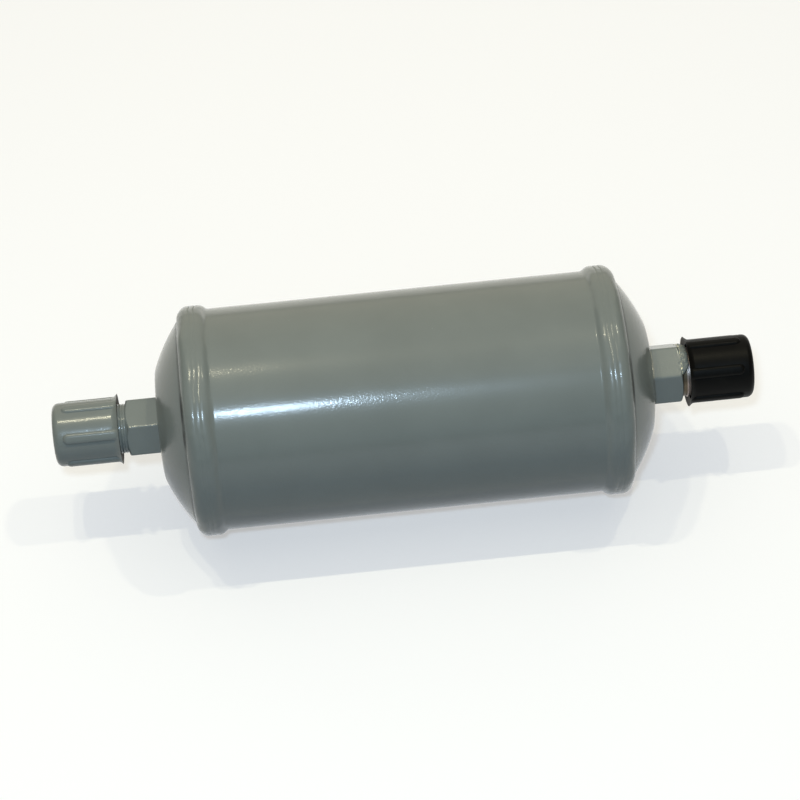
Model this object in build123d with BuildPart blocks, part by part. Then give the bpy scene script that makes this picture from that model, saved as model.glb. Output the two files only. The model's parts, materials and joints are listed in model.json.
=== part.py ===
"""Hermetic liquid-line filter drier with flare ends, and a push-on cap over each thread.

The vessel lies along X with its centre at the origin. The refrigerant comes in at -X and
leaves at +X. A welded steel shell holds a moulded desiccant core, which a conical spring
presses towards the outlet against a filter mat, a mesh screen and a perforated plate.
"""

from build123d import *
from math import asin, cos, degrees, radians, sin, tan
import os

os.makedirs("parts", exist_ok=True)

# ---------------------------------------------------------------- driving dimensions (mm)
# Steel vessel
vessel_length = 168.6          # over the flat faces of the two heads
shell_diameter = 76.2          # three inch tube
shell_wall = 1.6
head_wall = 2.0
head_flat_radius = 18.6        # flat seat for the fitting, before its edge is rounded
head_crown_height = 10.5       # from the head's outer face to where its crown meets the skirt
head_crown_radius = 65.0       # radius of the gently bulged flank
head_edge_radius = 8.0         # rounding between the flat seat and the flank
head_knuckle_radius = 3.4      # rounding between the flank and the skirt
head_skirt_length = 11.8
skirt_clearance = 0.05         # radial, skirt in tube
weld_root_gap = 3.5            # from the end of the crown back to the end of the tube

# Girth welds, each laid in three overlapping runs
weld_run_count = 3
weld_run_radius = 3.6
weld_run_pitch = 1.6
weld_height = 1.6              # crown above the shell's surface
weld_offset = 0.7              # middle run, inboard of the tube's end
weld_toe_angle = 42.0          # where the inboard toe leaves the first run
weld_foot_angle = 10.0         # how steeply the toe meets the shell
weld_side_angle = 12.0         # how far the last run turns under itself at the head

# Half inch flare fittings, turned from hexagon bar
hex_across_flats = 19.05
hex_length = 11.0
hex_chamfer_angle = 30.0
hex_face_radius = 9.3          # round face that the chamfer leaves
inlet_hex_turn = 45.0          # a corner's angle about X, from -Y up
outlet_hex_turn = 37.5
spigot_radius = 7.0
spigot_reach = 1.2             # spigot end, past the head's inner face
braze_clearance = 0.05         # radial, spigot in head
braze_leg = 1.5                # braze fillet, along the head's inner face
braze_rise = 1.0               # braze fillet, along the spigot
braze_hollow = 0.38            # share of both legs that the fillet's hollow face passes through
thread_radius = 9.525          # three quarter inch thread, plain at its major diameter
neck_radius = 8.35
neck_length = 4.1
thread_chamfer = 0.8
thread_length = 15.3           # from the end of the neck to the start of the cone
nose_radius = 6.0              # small end of the 45 degree flare cone
port_radius = 5.15
port_chamfer = 0.4

# Push-on thread caps
cap_length = 22.4
cap_radius = 10.9
cap_end_wall = 1.5
cap_end_rounding = 2.2
cap_bore_clearance = 0.675     # radial, cap bore round the thread
cap_lip_clearance = 0.075      # radial, lip round the thread as the cap is pulled off
cap_lip_length = 1.6
cap_funnel_depth = 1.0
cap_funnel_radius = 10.8
cap_rim_radius = 12.1
cap_rim_thickness = 1.1
cap_rim_fillet = 1.2
cap_rim_edge = 0.3
rib_count = 6
rib_width = 3.2
rib_height = 0.8
rib_root = 0.5                 # how far a rib starts inside the cap's wall
rib_edge = 0.55
rib_end_margin = 3.5           # plain band between the ribs and the closed end
inlet_cap_gap = 2.9            # from the hexagon to the cap's mouth
outlet_cap_gap = 2.4
inlet_rib_turn = 35.5          # a rib's angle about X, from -Y up
outlet_rib_turn = 39.0

# Inner parts
mat_clearance = 0.2            # radial, discs in the tube
perforated_plate_thickness = 1.2
perforated_plate_clearance = 0.1
plate_hole_radius = 2.9
plate_hole_rings = 3
plate_first_ring_holes = 6     # each further ring holds as many more
plate_hole_margin = 6.0        # from the skirt's inside to the centres of the outer holes
screen_thickness = 0.5
mat_thickness = 4.0
seal_ring_thickness = 1.0
seal_ring_bore = 12.0
core_flow_gap = 4.5            # radial, core in tube
core_chamfer = 3.0
core_bore_radius = 8.0
core_bore_depth = 92.0
core_bore_draft = 1.0
felt_thickness = 2.0
felt_clearance = 0.2           # radial, felt pad inside the core's edge
plate_thickness = 1.0
plate_cup_clearance = 0.3      # radial, spring plate's lip round the core
plate_lip_length = 5.0
plate_tab_count = 6
plate_tab_width = 9.0
plate_tab_clearance = 0.2      # radial, tab tips in the tube
plate_port_count = 8
plate_port_radius = 3.0
plate_port_circle = 18.5
deflector_thickness = 0.8
deflector_flange_radius = 15.0
deflector_bore = 9.2
deflector_height = 7.0
deflector_window_count = 4
deflector_window_width = 8.0
deflector_window_height = 4.5
spring_wire = 2.5
spring_seat_clearance = 0.75   # radial, smallest coil round the deflector
spring_length = 22.5           # as installed, between its seats
spring_margin = 6.3            # radial, from the cup's lip in to the largest coil's centre line
spring_turns = 3.5
spring_points = 10             # on each turn of the wire's centre line
spring_grind = 0.4             # share of the wire's radius ground flat at each end

# ---------------------------------------------------------------- places worked out from them
shell_radius = shell_diameter / 2
tube_bore = shell_radius - shell_wall
skirt_radius = tube_bore - skirt_clearance
face_x = vessel_length / 2                     # outer flat face of a head
crown_end_x = face_x - head_crown_height
skirt_end_x = crown_end_x - head_skirt_length
tube_end_x = crown_end_x - weld_root_gap
head_inner_x = face_x - head_wall
hex_end_x = face_x + hex_length
thread_start_x = hex_end_x + neck_length
thread_end_x = thread_start_x + thread_length
nose_x = thread_end_x + thread_radius - nose_radius
spigot_end_x = head_inner_x - spigot_reach
cap_bore = thread_radius + cap_bore_clearance
cap_lip_radius = thread_radius + cap_lip_clearance
inlet_mouth_x = hex_end_x + inlet_cap_gap
outlet_mouth_x = hex_end_x + outlet_cap_gap

perforated_plate_x = skirt_end_x - perforated_plate_thickness
screen_x = perforated_plate_x - screen_thickness
mat_x = screen_x - mat_thickness
seal_ring_x = mat_x - seal_ring_thickness
plate_hole_pitch = (skirt_radius - head_wall - plate_hole_margin) / plate_hole_rings
core_radius = tube_bore - core_flow_gap
plate_cup_radius = core_radius + plate_cup_clearance
deflector_x = -head_inner_x
deflector_wall_radius = deflector_bore + deflector_thickness
spring_start_x = deflector_x + deflector_thickness
plate_x = spring_start_x + spring_length
felt_x = plate_x + plate_thickness
core_start_x = felt_x + felt_thickness
spring_small_radius = deflector_wall_radius + spring_seat_clearance + spring_wire / 2
spring_large_radius = plate_cup_radius - spring_margin


def around(turn):
    """A plane through the axis that faces outwards at an angle about X, from -Y up."""
    return Plane(origin=(0, 0, 0), x_dir=(1, 0, 0), z_dir=(0, -cos(radians(turn)), sin(radians(turn))))


# ---------------------------------------------------------------- vessel
with BuildPart() as shell_tube:
    with BuildSketch(Plane.YZ.offset(-tube_end_x)):
        Circle(shell_radius)
        Circle(tube_bore, mode=Mode.SUBTRACT)
    extrude(amount=2 * tube_end_x)
shell_tube.part.label = "shell_tube"

# A drawn head: a flat seat, a gently bulged flank, a knuckle and a skirt inside the tube.
with BuildPart() as outlet_head:
    with BuildSketch(Plane.XZ) as head_outline:
        with BuildLine():
            seat = Line((face_x, 0), (face_x, head_flat_radius))
            flank = RadiusArc(seat @ 1, (crown_end_x, skirt_radius), -head_crown_radius)
            Polyline(flank @ 1, (skirt_end_x, skirt_radius), (skirt_end_x, 0), seat @ 0)
        make_face()
        fillet(head_outline.vertices().group_by(Axis.X)[-1].sort_by(Axis.Y)[-1], head_edge_radius)
        fillet(head_outline.vertices().group_by(Axis.Y)[-1].sort_by(Axis.X)[-1], head_knuckle_radius)
    revolve(axis=Axis.X)
    offset(amount=-head_wall, openings=outlet_head.faces().sort_by(Axis.X)[0])
    with BuildSketch(Plane.YZ.offset(skirt_end_x)):
        Circle(spigot_radius + braze_clearance)
    extrude(amount=face_x - skirt_end_x, mode=Mode.SUBTRACT)
outlet_head.part.label = "outlet_head"

with BuildPart() as inlet_head:
    mirror(outlet_head.part, about=Plane.YZ)
inlet_head.part.label = "inlet_head"

# The bead runs from its inboard toe on the tube, over its crowns, to the crease at the head.
weld_centre_radius = shell_radius + weld_height - weld_run_radius
weld_first_x = tube_end_x - weld_offset - weld_run_pitch * (weld_run_count - 1) / 2
valley_angle = degrees(asin(weld_run_pitch / 2 / weld_run_radius))
weld_depth = shell_wall / 2                    # overlap that the tube and the head cut away

with BuildPart() as outlet_girth_weld:
    with BuildSketch(Plane.XZ):
        with BuildLine():
            runs = []
            for run in range(weld_run_count):
                start = 90 + (weld_toe_angle if run == 0 else valley_angle)
                end = -weld_side_angle if run == weld_run_count - 1 else 90 - valley_angle
                centre = (weld_first_x + run * weld_run_pitch, weld_centre_radius)
                runs.append(CenterArc(centre, weld_run_radius, start, end - start))
            top = runs[0] @ 0
            toe_x = top.X - (top.Y - shell_radius) / tan(radians((weld_toe_angle + weld_foot_angle) / 2))
            TangentArc(top, (toe_x, shell_radius), tangent=-(runs[0] % 0))
            Polyline(
                runs[-1] @ 1,
                (crown_end_x, skirt_radius - weld_depth),
                (tube_end_x, skirt_radius - weld_depth),
                (tube_end_x, shell_radius - weld_depth),
                (toe_x, shell_radius - weld_depth),
                (toe_x, shell_radius),
            )
        make_face()
    revolve(axis=Axis.X)
    add(shell_tube.part, mode=Mode.SUBTRACT)
    add(outlet_head.part, mode=Mode.SUBTRACT)
outlet_girth_weld.part.label = "outlet_girth_weld"

with BuildPart() as inlet_girth_weld:
    mirror(outlet_girth_weld.part, about=Plane.YZ)
inlet_girth_weld.part.label = "inlet_girth_weld"


# ---------------------------------------------------------------- flare fittings
def flare_fitting(hex_turn):
    """Hexagon, neck, thread and flare nose towards +X, with the spigot through the head."""
    with BuildPart() as fitting:
        with BuildSketch(Plane.YZ.offset(face_x)):
            RegularPolygon(hex_across_flats / 2, 6, major_radius=False, rotation=180 - hex_turn)
        extrude(amount=hex_length)
        corner_radius = hex_across_flats / 2 / cos(radians(30))
        chamfer_depth = (corner_radius - hex_face_radius) * tan(radians(hex_chamfer_angle))
        with BuildSketch(Plane.XZ):
            Polygon(
                (face_x, 0),
                (face_x, corner_radius),
                (hex_end_x - chamfer_depth, corner_radius),
                (hex_end_x, hex_face_radius),
                (hex_end_x, 0),
                align=None,
            )
        revolve(axis=Axis.X, mode=Mode.INTERSECT)
        with BuildSketch(Plane.XZ):
            Polygon(
                (spigot_end_x, 0),
                (spigot_end_x, spigot_radius),
                (face_x, spigot_radius),
                (face_x, neck_radius),
                (thread_start_x, neck_radius),
                (thread_start_x + thread_chamfer, thread_radius),
                (thread_end_x, thread_radius),
                (nose_x, nose_radius),
                (nose_x, 0),
                align=None,
            )
        revolve(axis=Axis.X)
        with BuildSketch(Plane.XZ):
            Polygon(
                (spigot_end_x, 0),
                (spigot_end_x, port_radius),
                (nose_x - port_chamfer, port_radius),
                (nose_x, port_radius + port_chamfer),
                (nose_x, 0),
                align=None,
            )
        revolve(axis=Axis.X, mode=Mode.SUBTRACT)
    return fitting


outlet_fitting = flare_fitting(outlet_hex_turn)
outlet_fitting.part.label = "outlet_fitting"

with BuildPart() as inlet_fitting:
    mirror(flare_fitting(inlet_hex_turn).part, about=Plane.YZ)
inlet_fitting.part.label = "inlet_fitting"

with BuildPart() as outlet_braze_ring:
    with BuildSketch(Plane.XZ):
        with BuildLine():
            hollow = ThreePointArc(
                (head_inner_x, spigot_radius + braze_leg),
                (head_inner_x - braze_rise * braze_hollow, spigot_radius + braze_leg * braze_hollow),
                (head_inner_x - braze_rise, spigot_radius),
            )
            Polyline(hollow @ 1, (head_inner_x, spigot_radius), hollow @ 0)
        make_face()
    revolve(axis=Axis.X)
outlet_braze_ring.part.label = "outlet_braze_ring"

with BuildPart() as inlet_braze_ring:
    mirror(outlet_braze_ring.part, about=Plane.YZ)
inlet_braze_ring.part.label = "inlet_braze_ring"


# ---------------------------------------------------------------- thread caps
# One rib, standing on Z: its square end is buried in the rim and its far end is round.
rib_length = cap_length - rib_end_margin - cap_rim_edge
with BuildPart() as grip_rib:
    with BuildSketch(Plane.XY.offset(cap_radius - rib_root)):
        with Locations((rib_length - rib_width / 2, 0)):
            Circle(rib_width / 2)
        Rectangle(rib_length - rib_width / 2, rib_width, align=(Align.MIN, Align.CENTER))
    extrude(amount=rib_root + rib_height)
    fillet(grip_rib.faces().sort_by(Axis.Z)[-1].edges(), rib_edge)


def thread_cap(mouth_x, rib_turn):
    """A moulded cap that opens towards -X, with a flared rim and ribs for the fingers."""
    end_x = mouth_x + cap_length
    rim_x = mouth_x + cap_rim_thickness
    with BuildPart() as cap:
        with BuildSketch(Plane.XZ) as outline:
            with BuildLine():
                Polyline(
                    (mouth_x, 0),
                    (mouth_x, cap_rim_radius - cap_rim_edge),
                    (mouth_x + cap_rim_edge, cap_rim_radius),
                    (rim_x, cap_rim_radius),
                    (rim_x + cap_rim_fillet, cap_radius),
                    (end_x, cap_radius),
                    (end_x, 0),
                    close=True,
                )
            make_face()
            fillet(outline.vertices().group_by(Axis.X)[-1].sort_by(Axis.Y)[-1], cap_end_rounding)
        revolve(axis=Axis.X)
        with Locations(*[around(rib_turn + index * 360 / rib_count) for index in range(rib_count)]):
            with Locations((mouth_x + cap_rim_edge, 0, 0)):
                add(grip_rib.part)
        with BuildSketch(Plane.XZ):
            Polygon(
                (mouth_x, 0),
                (mouth_x, cap_funnel_radius),
                (mouth_x + cap_funnel_depth, cap_lip_radius),
                (mouth_x + cap_lip_length, cap_lip_radius),
                (mouth_x + cap_lip_length, cap_bore),
                (end_x - cap_end_wall, cap_bore),
                (end_x - cap_end_wall, 0),
                align=None,
            )
        revolve(axis=Axis.X, mode=Mode.SUBTRACT)
    return cap


outlet_thread_cap = thread_cap(outlet_mouth_x, outlet_rib_turn)
outlet_thread_cap.part.label = "outlet_thread_cap"

with BuildPart() as inlet_thread_cap:
    mirror(thread_cap(inlet_mouth_x, inlet_rib_turn).part, about=Plane.YZ)
inlet_thread_cap.part.label = "inlet_thread_cap"

# ---------------------------------------------------------------- outlet end, from the head inwards
with BuildPart() as perforated_plate:
    with BuildSketch(Plane.YZ.offset(perforated_plate_x)):
        Circle(tube_bore - perforated_plate_clearance)
        Circle(plate_hole_radius, mode=Mode.SUBTRACT)
        for ring in range(1, plate_hole_rings + 1):
            with PolarLocations(ring * plate_hole_pitch, plate_first_ring_holes * ring):
                Circle(plate_hole_radius, mode=Mode.SUBTRACT)
    extrude(amount=perforated_plate_thickness)
perforated_plate.part.label = "perforated_plate"

with BuildPart() as mesh_screen:
    with BuildSketch(Plane.YZ.offset(screen_x)):
        Circle(tube_bore - mat_clearance)
    extrude(amount=screen_thickness)
mesh_screen.part.label = "mesh_screen"

with BuildPart() as filter_mat:
    with BuildSketch(Plane.YZ.offset(mat_x)):
        Circle(tube_bore - mat_clearance)
    extrude(amount=mat_thickness)
filter_mat.part.label = "filter_mat"

with BuildPart() as core_seal_ring:
    with BuildSketch(Plane.YZ.offset(seal_ring_x)):
        Circle(core_radius)
        Circle(seal_ring_bore, mode=Mode.SUBTRACT)
    extrude(amount=seal_ring_thickness)
core_seal_ring.part.label = "core_seal_ring"

# The core is moulded round a tapered pin that leaves a blind bore, open to the outlet.
bore_end_radius = core_bore_radius - core_bore_depth * tan(radians(core_bore_draft))
with BuildPart() as desiccant_core:
    with BuildSketch(Plane.XZ):
        with BuildLine():
            tip = CenterArc((seal_ring_x - core_bore_depth, 0), bore_end_radius, 90, 90)
            Polyline(
                tip @ 0,
                (seal_ring_x, core_bore_radius),
                (seal_ring_x, core_radius - core_chamfer),
                (seal_ring_x - core_chamfer, core_radius),
                (core_start_x + core_chamfer, core_radius),
                (core_start_x, core_radius - core_chamfer),
                (core_start_x, 0),
                tip @ 1,
            )
        make_face()
    revolve(axis=Axis.X)
desiccant_core.part.label = "desiccant_core"

# ---------------------------------------------------------------- inlet end, from the core outwards
with BuildPart() as felt_pad:
    with BuildSketch(Plane.YZ.offset(felt_x)):
        Circle(core_radius - felt_clearance)
    extrude(amount=felt_thickness)
felt_pad.part.label = "felt_pad"

# A pressed cup round the core's end, with tabs that centre it in the tube.
with BuildPart() as spring_plate:
    with BuildSketch(Plane.YZ.offset(plate_x)):
        Circle(plate_cup_radius + plate_thickness)
        with PolarLocations((plate_cup_radius + tube_bore) / 2, plate_tab_count):
            Rectangle(tube_bore - plate_cup_radius, plate_tab_width)
        Circle(tube_bore - plate_tab_clearance, mode=Mode.INTERSECT)
        with PolarLocations(plate_port_circle, plate_port_count):
            Circle(plate_port_radius, mode=Mode.SUBTRACT)
    extrude(amount=plate_thickness)
    with BuildSketch(Plane.YZ.offset(plate_x)):
        Circle(plate_cup_radius + plate_thickness)
        Circle(plate_cup_radius, mode=Mode.SUBTRACT)
    extrude(amount=plate_lip_length)
spring_plate.part.label = "spring_plate"

# A top-hat pressing that turns the incoming jet sideways, clamped under the spring.
with BuildPart() as inlet_deflector:
    with BuildSketch(Plane.YZ.offset(deflector_x)):
        Circle(deflector_flange_radius)
        Circle(deflector_bore, mode=Mode.SUBTRACT)
    extrude(amount=deflector_thickness)
    with BuildSketch(Plane.YZ.offset(deflector_x)):
        Circle(deflector_wall_radius)
        Circle(deflector_bore, mode=Mode.SUBTRACT)
    extrude(amount=deflector_height)
    with BuildSketch(Plane.YZ.offset(deflector_x + deflector_height)):
        Circle(deflector_wall_radius)
    extrude(amount=deflector_thickness)
    for index in range(deflector_window_count):
        window_x = deflector_x + deflector_height - deflector_window_height / 2
        with BuildSketch(around(index * 360 / deflector_window_count)):
            with Locations((window_x, 0)):
                Rectangle(deflector_window_height, deflector_window_width)
        extrude(amount=deflector_wall_radius + deflector_thickness, mode=Mode.SUBTRACT)
inlet_deflector.part.label = "inlet_deflector"

# Conical spring: its end coils are ground flat where they seat.
wire_radius = spring_wire / 2
coil_start_x = spring_start_x + wire_radius * (1 - spring_grind)
coil_end_x = plate_x - wire_radius * (1 - spring_grind)


def coil_point(share):
    """A point on the wire's centre line, from the small coil at 0 to the large one at 1."""
    radius = spring_small_radius + share * (spring_large_radius - spring_small_radius)
    turn = radians(360 * spring_turns * share)
    return (coil_start_x + share * (coil_end_x - coil_start_x), radius * cos(turn), radius * sin(turn))


with BuildPart() as core_spring:
    with BuildLine():
        steps = round(spring_turns * spring_points)
        coil = Spline([coil_point(step / steps) for step in range(steps + 1)])
    with BuildSketch(Plane(origin=coil @ 0, z_dir=coil % 0)):
        Circle(wire_radius)
    sweep(path=coil)
    split(bisect_by=Plane.YZ.offset(spring_start_x), keep=Keep.TOP)
    split(bisect_by=Plane.YZ.offset(plate_x), keep=Keep.BOTTOM)
core_spring.part.label = "core_spring"

# ---------------------------------------------------------------- files
pieces = [
    shell_tube, inlet_head, outlet_head, inlet_girth_weld, outlet_girth_weld,
    inlet_fitting, outlet_fitting, inlet_braze_ring, outlet_braze_ring,
    inlet_thread_cap, outlet_thread_cap, inlet_deflector, core_spring, spring_plate,
    felt_pad, desiccant_core, core_seal_ring, filter_mat, mesh_screen, perforated_plate,
]
for piece in pieces:
    export_step(piece.part, f"parts/{piece.part.label}.step")
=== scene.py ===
"""Dresses a packed filter drier: enamel, bare metal, caps, weld beads and the studio round it.

Lengths are in metres. The vessel lies along X with its inlet at -X. A turn is an angle about X,
from -Y upwards, and an outward distance is measured along X from the vessel's middle.
"""

import json
import math

import bmesh
import bpy
from bpy.props import FloatProperty, FloatVectorProperty, IntProperty, PointerProperty
from mathutils import Matrix, Vector, noise


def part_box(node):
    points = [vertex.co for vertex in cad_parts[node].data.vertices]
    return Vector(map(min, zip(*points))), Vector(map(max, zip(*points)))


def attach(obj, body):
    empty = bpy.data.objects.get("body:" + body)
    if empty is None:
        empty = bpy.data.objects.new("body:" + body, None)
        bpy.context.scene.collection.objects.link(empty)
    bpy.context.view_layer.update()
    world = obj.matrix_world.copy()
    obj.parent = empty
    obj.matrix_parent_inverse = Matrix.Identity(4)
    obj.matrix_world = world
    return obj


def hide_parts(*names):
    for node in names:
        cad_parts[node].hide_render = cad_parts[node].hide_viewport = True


bl_info = {
    "name": "Filter Drier Dressing",
    "version": (1, 0, 0),
    "blender": (4, 5, 0),
    "location": "3D View > Sidebar > Filter Drier",
    "description": "Gives a packed filter drier its enamel, bare metal, caps and studio",
    "category": "Object",
}

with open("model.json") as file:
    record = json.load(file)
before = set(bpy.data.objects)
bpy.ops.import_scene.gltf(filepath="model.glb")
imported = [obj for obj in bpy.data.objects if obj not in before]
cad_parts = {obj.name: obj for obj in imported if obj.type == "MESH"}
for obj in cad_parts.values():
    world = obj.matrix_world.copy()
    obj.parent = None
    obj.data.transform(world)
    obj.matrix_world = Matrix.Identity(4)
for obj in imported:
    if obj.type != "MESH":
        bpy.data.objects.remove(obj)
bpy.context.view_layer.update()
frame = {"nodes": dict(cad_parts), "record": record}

# ---- facts that the frame gives
ENDS = {"inlet": -1, "outlet": 1}
VESSEL = "vessel"
HEXAGON = 6
SHELL_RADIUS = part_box("shell_tube")[1].z
BEAD_LOW, BEAD_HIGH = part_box("outlet_girth_weld")
SEAT_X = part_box("outlet_head")[1].x
SPIGOT_END_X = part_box("outlet_fitting")[0].x
NOSE_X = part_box("outlet_fitting")[1].x
FLOOR_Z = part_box("outlet_girth_weld")[0].z
MOUTH_X = {"inlet": -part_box("inlet_thread_cap")[1].x, "outlet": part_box("outlet_thread_cap")[0].x}
CAP_END_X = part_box("outlet_thread_cap")[1].x
RIM_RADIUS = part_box("outlet_thread_cap")[1].z
THREAD = next(m for m in frame["record"]["mounts"] if m["name"] == "outlet_thread")
THREAD_RADIUS = THREAD["dims"]["r_mm"] / 1000
THREAD_START_X = THREAD["pos_m"][0] - THREAD["dims"]["length_mm"] / 2000
THREAD_END_X = THREAD["pos_m"][0] + THREAD["dims"]["length_mm"] / 2000


# ---- settings
def number(name, description, default, **kind):
    return FloatProperty(name=name, description=description, default=default, **kind)


def length(name, description, default):
    return number(name, description, default, unit="LENGTH", precision=6)


def angle(name, description, degrees):
    return number(name, description, math.radians(degrees), subtype="ANGLE")


def share(name, description, default):
    return number(name, description, default, min=0, max=1, subtype="FACTOR")


def colour(name, description, default):
    return FloatVectorProperty(
        name=name, description=description, default=default, size=3, min=0, max=1, subtype="COLOR"
    )


class EnamelSettings(bpy.types.PropertyGroup):
    """The grey stoving enamel on the vessel, the fittings and the inlet cap."""

    tint: colour("Enamel", "Grey of the enamel", (0.17, 0.186, 0.176))
    drift: share("Drift", "How far the grey drifts over the surface", 0.05)
    roughness: share("Roughness", "Roughness of the enamel", 0.14)
    peel_size: length("Orange Peel", "Width of one dimple of the orange peel", 0.0008)
    peel_depth: length("Peel Depth", "Depth of the orange peel", 0.000045)
    # Painted shade: these set the dark band painted into the enamel in the crease between each bead
    # and its head.
    crease_shade: share("Painted Crease Shade", "How dark the crease between bead and head is", 0.85)
    crease_shade_width: length("Shade Width", "Half the width of that shaded crease", 0.0006)
    crease_shade_turn: angle("Shade Turn", "Turn at which that crease is darkest", 45)
    crease_shade_reach: angle("Shade Reach", "How far round it reaches to either side", 17)
    grit_size: length("Grit", "Spacing of the dust nibs under the enamel", 0.006)
    grit_depth: length("Grit Height", "Height of the dust nibs", 0.00003)


class BeadSettings(bpy.types.PropertyGroup):
    """The girth weld beads, laid in overlapping runs."""

    runs: IntProperty(name="Runs", description="Overlapping runs in a bead", default=3, min=1)
    run_radius: length("Run Radius", "Radius of one run", 0.0036)
    run_pitch: length("Run Pitch", "Distance between two runs", 0.0016)
    toe_angle: angle("Toe Angle", "Where the toe leaves the first run", 42)
    side_angle: angle("Side Angle", "How far the last run turns under itself", 12)
    ripple_depth: length("Ripple Depth", "Depth of the ripples across the bead", 0.00013)
    ripple_size: length("Ripple Size", "Length of one ripple round the bead", 0.0024)
    wander: length("Wander", "How far the runs wander sideways", 0.0004)
    wander_size: length("Wander Size", "Length over which the runs wander", 0.009)
    root_depth: length("Root", "How far the bead reaches into the tube's wall", 0.0008)


class FittingSettings(bpy.types.PropertyGroup):
    """The turned flare fittings."""

    across_flats: length("Across Flats", "Width of the hexagon", 0.01905)
    hexagon_length: length("Hexagon Length", "Length of the hexagon", 0.011)
    face_radius: length("Face Radius", "Round face that the hexagon's chamfer leaves", 0.0098)
    chamfer_angle: angle("Chamfer Angle", "Slope of the hexagon's chamfer", 30)
    inlet_turn: angle("Inlet Hexagon Turn", "Turn of a corner of the inlet's hexagon", 45)
    outlet_turn: angle("Outlet Hexagon Turn", "Turn of a corner of the outlet's hexagon", 37.5)
    spigot_radius: length("Spigot Radius", "Radius of the spigot in the head", 0.007)
    neck_radius: length("Neck Radius", "Radius of the neck between hexagon and thread", 0.00835)
    port_radius: length("Port Radius", "Radius of the flow bore", 0.00515)
    port_chamfer: length("Port Chamfer", "Chamfer at the mouth of the flow bore", 0.0004)
    thread_pitch: length("Thread Pitch", "Sixteen threads per inch", 0.0254 / 16)
    thread_depth: length("Thread Depth", "Depth of the thread", 0.0009)
    collar_height: length("Collar Height", "Height of the ring beside the outlet's cap", 0.0003)
    collar_width: length("Collar Width", "Half the width of that ring", 0.00028)
    neck_ring_height: length("Neck Rings", "Height of the rings on the inlet's neck", 0.00014)
    neck_ring_pitch: length("Neck Ring Pitch", "Distance between those rings", 0.0009)
    paint_fillet: length("Paint Fillet", "Enamel gathered in the corners", 0.0003)
    corner_power: number("Corner Sharpness", "Sharpness of the painted corners", 60, min=10)


class CollarSettings(bpy.types.PropertyGroup):
    """Enamel that bridged each neck and its cap when the drier was sprayed."""

    torn_radius: length("Torn Radius", "Radius of the collar as it leaves the hexagon", 0.0101)
    torn_shoulder: length("Torn Shoulder", "Radius of that collar at its shoulder", 0.0096)
    torn_length: length("Torn Length", "Reach of the outlet's collar from the hexagon", 0.0026)
    torn_root: length("Torn Root", "How far that collar laps over the hexagon's chamfer", 0.0009)
    torn_start: angle("Torn Start", "Turn at which that collar begins at the hexagon", 34)
    torn_slant: angle("Torn Slant", "How much later it begins at its far edge", 26)
    torn_end: angle("Torn End", "Turn at which that collar ends", 250)
    lump_size: length("Lump Size", "Size of the lumps in torn enamel", 0.0011)
    lump_height: length("Lump Height", "Height of the lumps in torn enamel", 0.0002)
    web_radius: length("Web Radius", "Radius of the web in the inlet cap's mouth", 0.0101)
    web_thickness: length("Web Thickness", "Thickness of that web", 0.00025)
    web_depth: length("Web Depth", "How far inside the mouth the web lies", 0.00035)
    web_start: angle("Web Start", "Turn at which the web begins", 20)
    web_end: angle("Web End", "Turn at which the web ends", 84)


class CapSettings(bpy.types.PropertyGroup):
    """The push-on caps."""

    plastic: colour("Plastic", "Colour of the bare cap", (0.0022, 0.0022, 0.002))
    sheen: share("Roughness", "Roughness of the moulded plastic", 0.4)
    grain_size: length("Grain", "Size of the moulded grain", 0.0006)
    grain_depth: length("Grain Depth", "Depth of the moulded grain", 0.000008)
    radius: length("Radius", "Radius of the cap's body", 0.0109)
    rounding: length("End Rounding", "Rounding of the closed end", 0.0022)
    flare: length("Flare", "Length of the flare at the open mouth", 0.0021)
    flare_edge: length("Flare Edge", "Thickness of the flare's edge", 0.00022)
    lip_radius: length("Lip Radius", "Radius inside the lip that holds the thread", 0.0096)
    lip_start: length("Lip Start", "Where the lip begins inside the mouth", 0.001)
    lip_end: length("Lip End", "Where the lip ends inside the mouth", 0.0016)
    bore_radius: length("Bore Radius", "Radius of the cap's bore", 0.0102)
    end_wall: length("End Wall", "Thickness of the cap's closed end", 0.0015)
    gate_radius: length("Gate Radius", "Radius of the gate mark in the middle of the end", 0.0008)
    ribs: IntProperty(name="Ribs", description="Grip ribs round the cap", default=6, min=1)
    rib_width: length("Rib Width", "Width of a grip rib", 0.0036)
    rib_height: length("Rib Height", "Height of a grip rib", 0.0008)
    rib_margin: length("Rib Margin", "Plain band between the ribs and the closed end", 0.0035)
    rib_round: number("Rib Crown", "1 is an arched rib, 3 a flat one with steep sides", 1.7, min=1)
    unevenness: length("Unevenness", "How uneven the moulded wall is", 0.00002)
    inlet_turn: angle("Inlet Rib Turn", "Turn of a rib on the inlet's cap", 35.5)
    outlet_turn: angle("Outlet Rib Turn", "Turn of a rib on the outlet's cap", 39)


class InnerSettings(bpy.types.PropertyGroup):
    """The sealed pieces inside the vessel."""

    steel: colour("Steel", "Zinc-plated pressings", (0.56, 0.56, 0.54))
    wire: colour("Spring Wire", "Oiled spring wire", (0.22, 0.21, 0.2))
    braze: colour("Braze", "Braze alloy", (0.72, 0.42, 0.22))
    felt: colour("Felt", "Polyester felt and mat", (0.82, 0.8, 0.74))
    gasket: colour("Gasket", "Compressed fibre gasket", (0.36, 0.33, 0.27))
    desiccant: colour("Desiccant", "Moulded desiccant", (0.62, 0.56, 0.45))


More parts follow.
